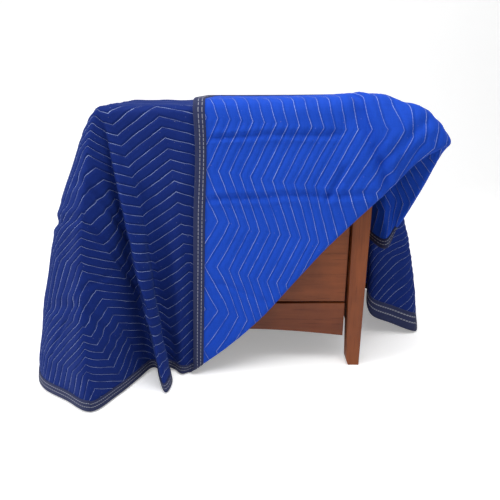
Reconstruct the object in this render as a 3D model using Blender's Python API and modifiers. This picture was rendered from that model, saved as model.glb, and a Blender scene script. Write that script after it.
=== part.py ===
"""Quilted blanket draped over a plain wooden side table, one corner folded back over the top.

Metres, +Z up, front toward -Y, the table stands on z = 0.
The blanket is worked out from its flat pattern (s to the right, t from the front edge to the back).
"""
import math

import bmesh
import bpy
import numpy as np
from mathutils import Vector
from mathutils.geometry import delaunay_2d_cdt

# table
TOP_Z = 0.745
TOP_THICK = 0.026
LEFT = -0.385
RIGHT = 0.335
FRONT = 0.0
BACK = 0.42
TOP_ROUND = 0.012
LEG_TOP = 0.052
LEG_FOOT = 0.038
LEG_INSET = 0.007
FOOT_CUT = 0.016
PANEL_THICK = 0.016
PANEL_BACKSET = 0.014
PANEL_LOW = 0.205
RAIL_HIGH = 0.200
RAIL_LOW = 0.095
RAIL_ARCH = 0.022
RAIL_STEPS = 12
SEAM = 0.0003

# blanket, flat sizes
WIDTH = 1.83
LENGTH = 2.03
BIND = 0.028
BIND_THICK = 0.0040
BIND_GAP = 0.0022
FOLD_THIN = 0.4
STATION = 0.036
ROW_END = 0.010
FRONT_PASS = (1.51, 1.61)
RIGHT_PASS = (0.39, 0.49)
TURN = math.radians(9.7)
FOLD_S = 0.80
FOLD_X = -0.15
FOLD_ANGLE = math.radians(48.4) - TURN
QUILT_PITCH = 0.056
QUILT_HALF = 0.126
QUILT_RISE = 0.058
CREST = 0.0060
STITCH = 0.0026
EDGE_THICK = 0.0036

# middle of the whole footprint, which the part is set on
CENTRE_X = -0.0794
CENTRE_Y = 0.3531

# how it lies
LIFT = 0.0070
HANG = 0.0070
LAYER_GAP = 0.0160
TIGHT_THICK = 0.0034
TIGHT_REACH = 0.16
LOFT = 0.012
LOFT_REACH = 0.20
SIDE_LOFT = 0.006
SIDE_REACH = 0.08
LIFT_SPAN = 0.040
LOFT_RISE = 0.05
SLIDE = 0.064
SLIDE_END = 0.50
REST_Z = TOP_Z + LIFT
FLOOR_Z = 0.0036
ROUND_OUT = 0.022
FOLD_STEPS = 4
FINE = 10
DOWN = 40

# Fall lines round the table, clockwise from the fold's foot on the front edge.
# name, top x, top y, pattern s, pattern t, end x, end y, end z, bow outward
FALLS = (
    ("fold_foot", -0.160, 0.012, 0.800, 0.000, -0.168, -0.034, 0.006, 0.000),
    ("front_a", -0.205, 0.012, 0.745, 0.000, -0.198, -0.046, 0.004, 0.000),
    ("front_b", -0.260, 0.012, 0.690, 0.000, -0.222, -0.026, 0.006, -0.004),
    ("valley", -0.310, 0.012, 0.650, 0.000, -0.240, -0.030, 0.012, -0.010),
    ("tube_right", -0.345, 0.012, 0.605, 0.000, -0.221, -0.088, 0.006, -0.004),
    ("tube_tip", -0.373, 0.012, 0.560, 0.000, -0.230, -0.136, 0.004, 0.004),
    ("tube_left", -0.373, 0.012, 0.515, 0.000, -0.252, -0.090, 0.006, 0.000),
    ("pleat_a", -0.373, 0.012, 0.450, 0.000, -0.268, -0.034, 0.010, -0.004),
    ("pleat_b", -0.373, 0.012, 0.380, 0.000, -0.292, -0.026, 0.010, -0.004),
    ("pleat_c", -0.373, 0.012, 0.290, 0.000, -0.320, -0.074, 0.006, 0.000),
    ("skirt_a", -0.373, 0.012, 0.150, 0.000, -0.360, -0.148, 0.004, 0.012),
    ("near_corner", -0.373, 0.012, 0.000, 0.000, -0.411, -0.216, 0.004, 0.020),
    ("left_a", -0.373, 0.012, 0.000, 0.130, -0.490, -0.170, 0.004, 0.019),
    ("left_b", -0.373, 0.012, 0.000, 0.270, -0.572, -0.116, 0.004, 0.018),
    ("left_c", -0.373, 0.012, 0.000, 0.400, -0.612, -0.048, 0.004, 0.018),
    ("left_d", -0.373, 0.012, 0.000, 0.550, -0.622, 0.050, 0.012, 0.018),
    ("left_e", -0.373, 0.012, 0.000, 0.730, -0.575, 0.120, 0.060, 0.008),
    ("left_f", -0.373, 0.060, 0.000, 0.940, -0.520, 0.180, 0.060, 0.004),
    ("left_g", -0.373, 0.230, 0.000, 1.130, -0.535, 0.290, 0.030, 0.006),
    ("left_h", -0.373, 0.408, 0.000, 1.330, -0.570, 0.440, 0.020, 0.010),
    ("back_left_a", -0.373, 0.408, 0.000, 1.600, -0.700, 0.600, 0.006, 0.020),
    ("back_left_b", -0.373, 0.408, 0.000, 1.850, -0.740, 0.790, 0.004, 0.030),
    ("far_left", -0.373, 0.408, 0.000, 2.030, -0.700, 0.920, 0.004, 0.030),
    ("back_a", -0.373, 0.408, 0.250, 2.030, -0.610, 0.860, 0.004, 0.020),
    ("back_b", -0.373, 0.408, 0.500, 2.030, -0.480, 0.760, 0.004, 0.012),
    ("back_c", -0.373, 0.408, 0.700, 2.030, -0.330, 0.760, 0.004, 0.012),
    ("back_d", -0.240, 0.408, 0.870, 2.030, -0.160, 0.810, 0.004, 0.020),
    ("back_e", -0.060, 0.408, 1.040, 2.030, 0.020, 0.800, 0.004, 0.020),
    ("back_f", 0.140, 0.408, 1.210, 2.030, 0.190, 0.740, 0.004, 0.016),
    ("back_g", 0.323, 0.408, 1.370, 2.030, 0.380, 0.650, 0.004, 0.018),
    ("back_h", 0.323, 0.408, 1.530, 2.030, 0.530, 0.500, 0.004, 0.034),
    ("back_i", 0.323, 0.408, 1.690, 2.030, 0.575, 0.330, 0.004, 0.036),
    ("far_corner", 0.323, 0.408, 1.830, 2.030, 0.567, 0.208, 0.004, 0.036),
    ("right_h", 0.323, 0.408, 1.830, 1.920, 0.470, 0.190, 0.045, 0.030),
    ("right_g", 0.323, 0.408, 1.830, 1.820, 0.402, 0.188, 0.078, 0.020),
    ("right_f", 0.323, 0.408, 1.830, 1.730, 0.398, 0.235, 0.120, 0.012),
    ("right_e", 0.323, 0.408, 1.830, 1.600, 0.436, 0.285, 0.170, 0.010),
    ("right_d", 0.323, 0.408, 1.830, 1.460, 0.447, 0.345, 0.250, 0.006),
    ("right_c", 0.323, 0.408, 1.830, 1.300, 0.415, 0.400, 0.330, 0.002),
    ("right_b", 0.323, 0.408, 1.830, 1.150, 0.376, 0.410, 0.390, 0.000),
    ("right_a", 0.323, 0.330, 1.830, 1.030, 0.362, 0.300, 0.365, 0.000),
    ("hem_b", 0.323, 0.250, 1.830, 0.950, 0.374, 0.185, 0.345, 0.000),
    ("hem_a", 0.323, 0.190, 1.830, 0.885, 0.408, 0.125, 0.330, 0.006),
    ("fold_end", 0.323, 0.150, 1.830, -1.000, 0.440, 0.145, 0.368, 0.014),
    ("nose_d", 0.323, 0.080, 1.700, -1.000, 0.484, 0.100, 0.500, 0.015),
    ("nose_c", 0.323, 0.012, 1.600, -1.000, 0.505, 0.035, 0.615, 0.013),
    ("nose_tip", 0.323, 0.012, 1.550, -1.000, 0.496, -0.018, 0.646, 0.011),
    ("nose_b", 0.323, 0.012, 1.490, -1.000, 0.425, -0.030, 0.615, 0.009),
    ("nose_a", 0.320, 0.012, 1.390, -1.000, 0.345, -0.028, 0.528, 0.008),
    ("diag_d", 0.210, 0.012, 1.260, -1.000, 0.213, -0.022, 0.386, 0.000),
    ("diag_c", 0.120, 0.012, 1.150, -1.000, 0.125, -0.020, 0.281, 0.000),
    ("diag_b", 0.030, 0.012, 1.030, -1.000, 0.030, -0.022, 0.168, 0.000),
    ("diag_a", -0.070, 0.012, 0.895, -1.000, -0.070, -0.026, 0.075, 0.000),
)
ON_FOLD = -1.0

# More points along the stitch lines where the cloth folds tightly.
# for lines below this t, single places s, then a run of places: first s, last s, step
TIGHT_ROWS = (
    (0.40, (0.063, 0.189, 0.32, 0.40), 0.45, 0.73, 0.034),
    (0.82, (0.063, 0.189, 0.315, 1.45, 1.58), 0.47, 0.76, 0.042),
    (1.05, (0.063, 0.189), 0.0, 0.0, 1.0),
)
BACK_ROW = (0.063, 0.189, 0.315, 0.44, 0.565, 0.70, 0.79, 1.36, 1.42, 1.48, 1.55, 1.59, 1.68, 1.72, 1.79)
CROWD = 0.015
PASS_STEP = 0.0125
STATION_NEAR = 0.006
TINY = 1e-9
SAME = 1e-6
SOFT_ROWS = 1.6
GROW_FROM = 0.0
GROW_TO = 0.40
EDGE_RINGS = (0.0, 0.015, 0.030)
LEAN_SHARE = 0.8
TURN_ROWS = 0.5
BOW_START = 1.5
BOW_END = 2.5
HANG_BEND = 0.45
PAST_HEM = 1.06


def clear_scene():
    for obj in list(bpy.data.objects):
        bpy.data.objects.remove(obj, do_unlink=True)


def material(name, colour, rough):
    mat = bpy.data.materials.new(name)
    mat.use_nodes = True
    shader = mat.node_tree.nodes["Principled BSDF"]
    shader.inputs["Base Color"].default_value = (*colour, 1.0)
    shader.inputs["Roughness"].default_value = rough
    return mat


def fold_dir():
    """Unit direction of the fold in the pattern."""
    return np.array([math.cos(FOLD_ANGLE), math.sin(FOLD_ANGLE)])


def fold_split(points):
    """Distances along the fold and past it, positive on the folded corner's side."""
    way = fold_dir()
    rel = points - np.array([FOLD_S, 0.0])
    along = rel @ way
    past = rel @ np.array([way[1], -way[0]])
    return along, past


def fold_t(s):
    """Pattern t where the fold crosses a given s."""
    return (s - FOLD_S) * math.tan(FOLD_ANGLE)


def flat_to_pattern(x, w):
    """Pattern place of a point of the unfolded sheet: x to the right, w up the front and over the top."""
    c = math.cos(TURN)
    k = math.sin(TURN)
    dx = x - FOLD_X
    return np.stack([FOLD_S + c * dx + k * w, -k * dx + c * w], axis=-1)


def pattern_to_flat(points):
    c = math.cos(TURN)
    k = math.sin(TURN)
    ds = points[:, 0] - FOLD_S
    t = points[:, 1]
    return FOLD_X + c * ds - k * t, k * ds + c * t


def spread(rows, smooth):
    """Closed table column to FINE steps a row: Catmull-Rom where smooth, straight elsewhere."""
    rows = np.asarray(rows, float)
    a = np.arange(FINE) / FINE
    p0 = np.roll(rows, 1, axis=0)[:, None]
    p1 = rows[:, None]
    p2 = np.roll(rows, -1, axis=0)[:, None]
    p3 = np.roll(rows, -2, axis=0)[:, None]
    a = a[None, :, None]
    line = p1 + (p2 - p1) * a
    if not smooth:
        return line.reshape(-1, rows.shape[1])
    m1 = (p2 - p0) / 2
    m2 = (p3 - p1) / 2
    curve = ((2 * a**3 - 3 * a**2 + 1) * p1 + (a**3 - 2 * a**2 + a) * m1
             + (3 * a**2 - 2 * a**3) * p2 + (a**3 - a**2) * m2)
    return curve.reshape(-1, rows.shape[1])


def soften(values, steps):
    """Closed running average with a bell of the given width in steps."""
    n = len(values)
    k = np.arange(n)
    k = np.minimum(k, n - k)
    bell = np.exp(-0.5 * (k / steps) ** 2)
    bell /= bell.sum()
    spec = np.fft.fft(bell)[:, None] * np.fft.fft(values, axis=0)
    return np.real(np.fft.ifft(spec, axis=0))


def push_clear(p):
    """Points inside the table's rounded block, grown by the clearance, move out to its skin."""
    lo = np.array([LEFT + TOP_ROUND, FRONT + TOP_ROUND, -1.0])
    hi = np.array([RIGHT - TOP_ROUND, BACK - TOP_ROUND, TOP_Z - TOP_ROUND])
    need = TOP_ROUND + HANG
    near = np.clip(p, lo, hi)
    gap = p - near
    dist = np.linalg.norm(gap, axis=-1, keepdims=True)
    inside = dist[..., 0] < 1e-9
    out = np.where(dist < need, near + gap / np.maximum(dist, 1e-9) * need, p)
    if inside.any():
        q = p[inside]
        faces = np.stack([q[:, 0] - lo[0], hi[0] - q[:, 0], q[:, 1] - lo[1], hi[1] - q[:, 1],
                          hi[2] - q[:, 2]], axis=1)
        side = faces.argmin(axis=1)
        q[side == 0, 0] = lo[0] - need
        q[side == 1, 0] = hi[0] + need
        q[side == 2, 1] = lo[1] - need
        q[side == 3, 1] = hi[1] + need
        q[side == 4, 2] = hi[2] + need
        out[inside] = q
    out[..., 2] = np.maximum(out[..., 2], FLOOR_Z)
    return out


def fall_grid():
    """Pattern tops and ends of the fine fall lines, and their points in space from top to hem."""
    top = spread([r[1:3] for r in FALLS], False)
    ends = [(r[3], fold_t(r[3]) if r[4] == ON_FOLD else r[4]) for r in FALLS]
    pat_end = spread(ends, False)
    pat_top = flat_to_pattern(top[:, 0], TOP_Z + top[:, 1] - FRONT)
    hem = spread([r[5:8] for r in FALLS], True)
    bow = spread([[r[8]] for r in FALLS], True)
    soft = soften(hem, SOFT_ROWS * FINE)
    start = np.column_stack([top, np.full(len(top), REST_Z)])
    lean = soft[:, :2] - top
    side_x = np.where(top[:, 0] > RIGHT - 2 * TOP_ROUND, 1.0, 0.0) - (top[:, 0] < LEFT + 2 * TOP_ROUND)
    side_y = np.where(top[:, 1] > BACK - 2 * TOP_ROUND, 1.0, 0.0) - (top[:, 1] < FRONT + 2 * TOP_ROUND)
    edge = np.column_stack([side_x, side_y])
    edge /= np.maximum(np.linalg.norm(edge, axis=1, keepdims=True), 1e-9)
    out = edge + LEAN_SHARE * lean / np.maximum(np.linalg.norm(lean, axis=1, keepdims=True), 1e-9)
    out = soften(out, TURN_ROWS * FINE)
    out /= np.linalg.norm(out, axis=1, keepdims=True)
    out = np.column_stack([out, np.zeros(len(out))])
    v = np.linspace(0, 1, 4 * DOWN)[None, :, None]
    b0 = start[:, None]
    b1 = (start + out * (ROUND_OUT + BOW_START * np.maximum(bow, 0)))[:, None]
    b3 = soft[:, None]
    b2 = b1 + (b3 - b1) * HANG_BEND + (out * bow * BOW_END)[:, None]
    path = (1 - v)**3 * b0 + 3 * v * (1 - v)**2 * b1 + 3 * v**2 * (1 - v) * b2 + v**3 * b3
    step = np.linalg.norm(np.diff(path, axis=1), axis=2)
    run = np.concatenate([np.zeros((len(path), 1)), np.cumsum(step, axis=1)], axis=1)
    run /= run[:, -1:]
    even = np.linspace(0, 1, DOWN)
    grid = np.empty((len(path), DOWN, 3))
    for i in range(len(path)):
        for axis in range(3):
            grid[i, :, axis] = np.interp(even, run[i], path[i, :, axis])
    grow = np.clip((even - GROW_FROM) / (GROW_TO - GROW_FROM), 0, 1)
    grow = (grow * grow * (3 - 2 * grow) * even)[None, :, None]
    grid = grid + grow * (hem - soft)[:, None]
    return pat_top, pat_end, push_clear(grid)


def cross2(a, b):
    return a[..., 0] * b[..., 1] - a[..., 1] * b[..., 0]


def base_surface(points, falls):
    """Middle of the single layer for pattern points: flat on the top, along the fall lines outside."""
    pat_top, pat_end, grid = falls
    flat_x, flat_w = pattern_to_flat(points)
    out = np.column_stack([flat_x, flat_w - TOP_Z + FRONT, np.full(len(points), REST_Z)])
    off = ((flat_x < LEFT + TOP_ROUND) | (flat_x > RIGHT - TOP_ROUND)
           | (out[:, 1] < FRONT + TOP_ROUND) | (out[:, 1] > BACK - TOP_ROUND))
    q = points[off]
    if not len(q):
        return out
    way = pat_end - pat_top
    size = (way**2).sum(axis=1)
    rel = q[:, None] - pat_top[None]
    turn = cross2(way[None], rel)
    ahead = (rel * way[None]).sum(axis=2) / size
    turn_next = np.roll(turn, -1, axis=1)
    ahead_next = np.roll(ahead, -1, axis=1)
    hit = (turn <= 1e-9) & (turn_next > -1e-9) & (ahead + ahead_next > -0.02)
    cost = np.where(hit, np.abs(ahead + ahead_next), 1e6)
    i = cost.argmin(axis=1)
    k = np.arange(len(q))
    root = np.sqrt(size)
    a = (-turn[k, i] / root[i])
    b = turn_next[k, i] / np.roll(root, -1)[i]
    frac = a / np.maximum(a + b, 1e-12)
    j = (i + 1) % len(way)
    t0 = pat_top[i] + (pat_top[j] - pat_top[i]) * frac[:, None]
    e0 = pat_end[i] + (pat_end[j] - pat_end[i]) * frac[:, None]
    line = e0 - t0
    v = ((q - t0) * line).sum(axis=1) / (line**2).sum(axis=1)
    place = np.clip(v, 0, PAST_HEM) * (DOWN - 1)
    cell = np.clip(place.astype(int), 0, DOWN - 2)
    part = (place - cell)[:, None]
    near = grid[i, cell] * (1 - part) + grid[i, cell + 1] * part
    far = grid[j, cell] * (1 - part) + grid[j, cell + 1] * part
    out[off] = near + (far - near) * frac[:, None]
    return out


def base_normal(points, falls, step=0.012):
    """Outward normal of the single layer by differences in the pattern."""
    ds = np.array([step, 0.0])
    dt = np.array([0.0, step])
    across = base_surface(points + ds, falls) - base_surface(points - ds, falls)
    along = base_surface(points + dt, falls) - base_surface(points - dt, falls)
    n = np.cross(across, along)
    return n / np.maximum(np.linalg.norm(n, axis=1, keepdims=True), 1e-12)


def drape(points, falls):
    """Middle of the blanket: the single layer, and past the fold the mirrored place one gap outside."""
    along, past = fold_split(points)
    r = LAYER_GAP / 2
    bend = np.clip((past + math.pi * r / 2) / r, 0, math.pi)
    inplane = np.where(past < -math.pi * r / 2, past,
                       np.where(past > math.pi * r / 2, -past, -math.pi * r / 2 + r * np.sin(bend)))
    lift = r * (1 - np.cos(bend))
    way = fold_dir()
    q = (np.array([FOLD_S, 0.0]) + along[:, None] * way
         + inplane[:, None] * np.array([way[1], -way[0]]))
    slide = SLIDE * np.clip(past, 0, SLIDE_END)[:, None]
    q = q - slide * np.array([math.cos(TURN), -math.sin(TURN)])
    corner = flat_to_pattern(RIGHT - TOP_ROUND, TOP_Z + TOP_ROUND)
    away = np.linalg.norm(q - corner, axis=1) / LOFT_REACH
    beside = np.clip((pattern_to_flat(q)[0] - RIGHT) / SIDE_REACH, 0, 1)
    lift = lift + np.maximum(LOFT * np.exp(-away**2), SIDE_LOFT * beside) * np.clip(past / LOFT_RISE, 0, 1)
    out = base_surface(q, falls)
    up = lift > 0
    if up.any():
        out[up] += base_normal(q[up], falls, LIFT_SPAN) * lift[up, None]
    out[:, 2] = np.maximum(out[:, 2], FLOOR_Z)
    return out


def zigzag(s):
    """Rise of a quilting line over s: straight legs, one corner each half repeat."""
    phase = np.abs((s / QUILT_HALF) % 2 - 1)
    return QUILT_RISE * phase


def quilt_mesh(lo_s, hi_s, lo_t, hi_t):
    """Triangles of the flat panel along every stitch line, every crest and the bend of the fold."""
    half = QUILT_PITCH / 2
    points = []
    edges = []
    r = LAYER_GAP / 2
    offsets = np.linspace(-math.pi * r / 2, math.pi * r / 2, FOLD_STEPS + 1)
    way = fold_dir()

    def add_line(samples, closed=False):
        first = len(points)
        for p in samples:
            points.append(Vector((float(p[0]), float(p[1]))))
        for n in range(first, len(points) - 1):
            edges.append((n, n + 1))
        if closed:
            edges.append((len(points) - 1, first))

    count = int((hi_t + QUILT_RISE) / half) + 2
    for k in range(-int(QUILT_RISE / half) - 1, count):
        corners = np.arange(math.floor(lo_s / QUILT_HALF), math.ceil(hi_s / QUILT_HALF) + 1) * QUILT_HALF
        more = extra_places(k * half)
        more = more[np.abs(more[:, None] - corners[None]).min(axis=1) > CROWD]
        s = np.unique(np.clip(np.concatenate([corners, more]), lo_s + ROW_END, hi_s - ROW_END))
        line = np.column_stack([s, k * half + zigzag(s)])
        run = []
        for p0, p1 in zip(line[:-1], line[1:]):
            piece = clip_piece(p0, p1, lo_t + ROW_END, hi_t - ROW_END)
            if piece is None:
                if len(run) > 1:
                    add_line(run)
                run = []
                continue
            if not run:
                run = [piece[0]]
            run.append(piece[1])
        if len(run) > 1:
            add_line(run)
    for d in offsets:
        start = np.array([FOLD_S, 0.0]) + d * np.array([way[1], -way[0]])
        f0 = (lo_t - start[1]) / way[1]
        f1 = (hi_s - start[0]) / way[0]
        add_line([start + f0 * way, start + f1 * way])
    for away in EDGE_RINGS:
        ring = edge_ring(away)
        for loop in (ring, mirror(ring)):
            for p0, p1 in zip(loop, np.roll(loop, -1, axis=0)):
                piece = clip_piece(p0, p1, lo_t + ROW_END, hi_t - ROW_END)
                piece = piece and clip_piece(piece[0][::-1], piece[1][::-1], lo_s + ROW_END, hi_s - ROW_END)
                if piece:
                    add_line([piece[0][::-1], piece[1][::-1]])
    front, back, side_l, side_r = border_places()
    border = [(s, lo_t) for s in front if lo_s < s < hi_s]
    border = [(lo_s, lo_t)] + border + [(hi_s, lo_t)] + [(hi_s, t) for t in side_r if lo_t < t < hi_t]
    border += [(hi_s, hi_t)] + [(s, hi_t) for s in back[::-1] if lo_s < s < hi_s] + [(lo_s, hi_t)]
    border += [(lo_s, t) for t in side_l[::-1] if lo_t < t < hi_t]
    add_line(border, closed=True)
    out = delaunay_2d_cdt(points, edges, [], 1, 1e-5)
    flat = np.array([(p.x, p.y) for p in out[0]])
    return flat, [tuple(f) for f in out[2]]


def border_places():
    """Stations of the four bindings: s for front and back, t for left and right."""
    way = fold_dir()
    bends = np.linspace(-1, 1, FOLD_STEPS + 1) * math.pi * LAYER_GAP / 4
    depth = BIND + BIND_GAP
    near = [FOLD_S + (d + t * way[0]) / way[1] for d in bends for t in (0.0, depth)]
    close = [((s - FOLD_S) * way[1] - d) / way[0] for d in bends for s in (WIDTH, WIDTH - depth)]
    near = np.concatenate([near, np.arange(*FRONT_PASS, PASS_STEP)])
    close = np.concatenate([close, np.arange(*RIGHT_PASS, PASS_STEP)])
    wide = np.linspace(0, WIDTH, int(WIDTH / STATION) + 1)
    wide = merge_places(wide, np.array([depth, WIDTH - depth]))
    long = np.linspace(BIND + 2 * BIND_GAP, LENGTH - BIND - 2 * BIND_GAP, int(LENGTH / STATION) + 1)
    return merge_places(wide, near), wide, long, merge_places(long, close)


def merge_places(even, kept):
    """Even places without those that crowd a kept one, and the kept ones."""
    apart = np.abs(even[:, None] - kept[None]).min(axis=1)
    rim = (even == even[0]) | (even == even[-1])
    return np.unique(np.concatenate([even[(apart > STATION_NEAR) | rim], kept]))


def edge_ring(away):
    """Loop in the pattern round the table top's flat part, a given way outside it."""
    flat = []
    for cx, cy, start in (
            (RIGHT - TOP_ROUND, BACK - TOP_ROUND, 0.0),
            (LEFT + TOP_ROUND, BACK - TOP_ROUND, 0.5),
            (LEFT + TOP_ROUND, FRONT + TOP_ROUND, 1.0),
            (RIGHT - TOP_ROUND, FRONT + TOP_ROUND, 1.5)):
        for turn in ((0.0, 0.25, 0.5) if away else (0.0,)):
            a = (start + turn) * math.pi
            flat.append((cx + away * math.cos(a), cy + away * math.sin(a)))
    flat = np.array(flat)
    return flat_to_pattern(flat[:, 0], TOP_Z + flat[:, 1] - FRONT)


def mirror(points):
    """Pattern points mirrored over the fold."""
    way = fold_dir()
    _, past = fold_split(points)
    return points - 2 * past[:, None] * np.array([way[1], -way[0]])


def extra_places(t):
    """More points along a quilting line where the cloth folds tightly."""
    for below, single, first, last, step in TIGHT_ROWS:
        if t < below:
            return np.concatenate([single, np.arange(first, last, step)])
    return np.array(BACK_ROW)


def clip_piece(p0, p1, lo, hi):
    """Part of a straight piece between two values of t, or nothing."""
    d = p1[1] - p0[1]
    if abs(d) < TINY:
        return (p0, p1) if lo <= p0[1] <= hi else None
    f0 = (lo - p0[1]) / d
    f1 = (hi - p0[1]) / d
    a = max(0.0, min(f0, f1))
    b = min(1.0, max(f0, f1))
    if b - a < SAME:
        return None
    return p0 + (p1 - p0) * a, p0 + (p1 - p0) * b


def quilt_thick(points, lo_s, hi_s, lo_t, hi_t):
    """Thin on the stitch lines and in the fold, full between them, thin at the binding."""
    phase = (points[:, 1] - zigzag(points[:, 0])) / QUILT_PITCH
    crest = np.abs(((phase + 0.5) % 1) - 0.5) * 2
    thick = STITCH + (CREST - STITCH) * np.sin(crest * math.pi / 2)
    _, past = fold_split(points)
    tight = np.clip(np.abs(past) / (3 * LAYER_GAP), 0, 1)
    thick = np.minimum(thick, TIGHT_THICK + (CREST - TIGHT_THICK) * tight)
    pulled = np.ones(len(points))
    for corner in (edge_ring(0.0)[[0, 1, 2, 3]], mirror(edge_ring(0.0))[[0, 1, 2, 3]]):
        for place in corner:
            pulled = np.minimum(pulled, np.linalg.norm(points - place, axis=1) / TIGHT_REACH)
    thick = np.minimum(thick, TIGHT_THICK + (CREST - TIGHT_THICK) * np.clip(pulled * 2 - 1, 0, 1))
    rim = np.minimum.reduce([points[:, 0] - lo_s, hi_s - points[:, 0],
                             points[:, 1] - lo_t, hi_t - points[:, 1]])
    thick = np.where(rim < 1e-4, EDGE_THICK, thick)
    return thick


def vertex_normals(places, faces):
    tri = np.array(faces)
    a, b, c = places[tri[:, 0]], places[tri[:, 1]], places[tri[:, 2]]
    n = np.cross(b - a, c - a)
    out = np.zeros_like(places)
    for k in range(3):
        np.add.at(out, tri[:, k], n)
    return out / np.maximum(np.linalg.norm(out, axis=1, keepdims=True), 1e-12)


def sharpness(places, faces, normals):
    """Share of the thickness kept at each point: less where its faces turn far from its normal."""
    tri = np.array(faces)
    a, b, c = places[tri[:, 0]], places[tri[:, 1]], places[tri[:, 2]]
    n = np.cross(b - a, c - a)
    n /= np.maximum(np.linalg.norm(n, axis=1, keepdims=True), 1e-12)
    keep = np.ones(len(places))
    for k in range(3):
        np.minimum.at(keep, tri[:, k], (n * normals[tri[:, k]]).sum(axis=1))
    return np.clip(keep, 0.4, 1.0)


def rim_loop(faces):
    """Border edges of a triangle sheet, in the direction of their faces."""
    seen = {}
    for f in faces:
        for k in range(3):
            seen[(f[k], f[(k + 1) % 3])] = True
    return [e for e in seen if (e[1], e[0]) not in seen]


def new_object(name, places, faces, mat, home, smooth=True):
    mesh = bpy.data.meshes.new(name)
    mesh.from_pydata([(p[0] - CENTRE_X, p[1] - CENTRE_Y, p[2]) for p in places], [], faces)
    mesh.validate()
    mesh.update()
    mesh.materials.append(mat)
    if smooth:
        mesh.shade_smooth()
    obj = bpy.data.objects.new(name, mesh)
    home.objects.link(obj)
    return obj


def build_blanket(falls, mat, home):
    lo = BIND + BIND_GAP
    bounds = (lo, WIDTH - lo, lo, LENGTH - lo)
    flat, faces = quilt_mesh(*bounds)
    faces = [f if cross2(flat[f[1]] - flat[f[0]], flat[f[2]] - flat[f[0]]) > 0 else f[::-1] for f in faces]
    mid = drape(flat, falls)
    n = vertex_normals(mid, faces)
    thick = quilt_thick(flat, *bounds)[:, None] * sharpness(mid, faces, n)[:, None]
    upper = mid + n * thick / 2
    lower = mid - n * thick / 2
    count = len(mid)
    solid = [tuple(f) for f in faces]
    solid += [tuple(count + v for v in f[::-1]) for f in faces]
    for a, b in rim_loop(faces):
        solid.append((a, count + a, count + b))
        solid.append((a, count + b, b))
    places = np.concatenate([upper, lower])
    return new_object("blanket", places, solid, mat, home)


def build_strip(name, line, inward, falls, mat, home):
    """Binding strip along one edge of the pattern: a rounded flat section swept along its line."""
    line = np.array(line)
    inward = np.array(inward)
    if inward.ndim == 1:
        inward = np.repeat(inward[None], len(line), axis=0)
    section = ((0.0, 0.0), (0.003, 0.5), (BIND * 0.93, 0.5), (BIND, 0.32),
               (BIND, -0.32), (BIND * 0.93, -0.5), (0.003, -0.5))
    rings = []
    places = {}
    for depth in sorted({d for d, _ in section}):
        q = line + inward * depth
        places[depth] = drape(q, falls)
    inner = places[BIND]
    outer = places[0.0]
    across = inner - outer
    along = np.gradient(outer, axis=0)
    n = np.cross(along, across)
    n /= np.maximum(np.linalg.norm(n, axis=1, keepdims=True), 1e-12)
    if (n * outward(line + inward * (BIND / 2), falls)).sum() < 0:
        n = -n
    _, past = fold_split(line + inward * (BIND / 2))
    thick = BIND_THICK * (1 - FOLD_THIN * np.exp(-(past / LAYER_GAP)**2))
    for depth, side in section:
        rings.append(places[depth] + n * (thick * side)[:, None])
    ring = np.stack(rings, axis=1)
    count = len(section)
    verts = ring.reshape(-1, 3)
    faces = []
    for i in range(len(line) - 1):
        for k in range(count):
            m = (k + 1) % count
            a = i * count + k
            b = i * count + m
            faces.append((a, b, b + count))
            faces.append((a, b + count, a + count))
    for k in range(1, count - 1):
        faces.append((0, k + 1, k))
        e = (len(line) - 1) * count
        faces.append((e, e + k, e + k + 1))
    obj = new_object(name, verts, faces, mat, home)
    bm = bmesh.new()
    bm.from_mesh(obj.data)
    bmesh.ops.recalc_face_normals(bm, faces=bm.faces)
    bm.to_mesh(obj.data)
    bm.free()
    return obj


def outward(points, falls):
    """Outward direction of the draped sheet, turned over past the fold."""
    step = 0.004
    ds = np.array([step, 0.0])
    dt = np.array([0.0, step])
    n = np.cross(drape(points + ds, falls) - drape(points - ds, falls),
                 drape(points + dt, falls) - drape(points - dt, falls))
    return n / np.maximum(np.linalg.norm(n, axis=1, keepdims=True), 1e-12)


def build_bindings(falls, mat, home):
    front, back, side_l, side_r = border_places()
    zero = np.zeros_like
    build_strip("binding_front", np.column_stack([front, zero(front)]), (0, 1), falls, mat, home)
    build_strip("binding_back", np.column_stack([back, zero(back) + LENGTH]), (0, -1), falls, mat, home)
    build_strip("binding_left", np.column_stack([zero(side_l), side_l]), (1, 0), falls, mat, home)
    build_strip("binding_right", np.column_stack([zero(side_r) + WIDTH, side_r]), (-1, 0), falls, mat, home)


def block(name, lo, hi, mat, home, bevel=0.0):
    verts = [(x, y, z) for x in (lo[0], hi[0]) for y in (lo[1], hi[1]) for z in (lo[2], hi[2])]
    faces = [(0, 1, 3, 2), (4, 6, 7, 5), (0, 4, 5, 1), (2, 3, 7, 6), (0, 2, 6, 4), (1, 5, 7, 3)]
    obj = new_object(name, verts, faces, mat, home, smooth=False)
    if bevel:
        mod = obj.modifiers.new("soft_edges", "BEVEL")
        mod.width = bevel
        mod.segments = 3
        mod.limit_method = "ANGLE"
    return obj


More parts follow.
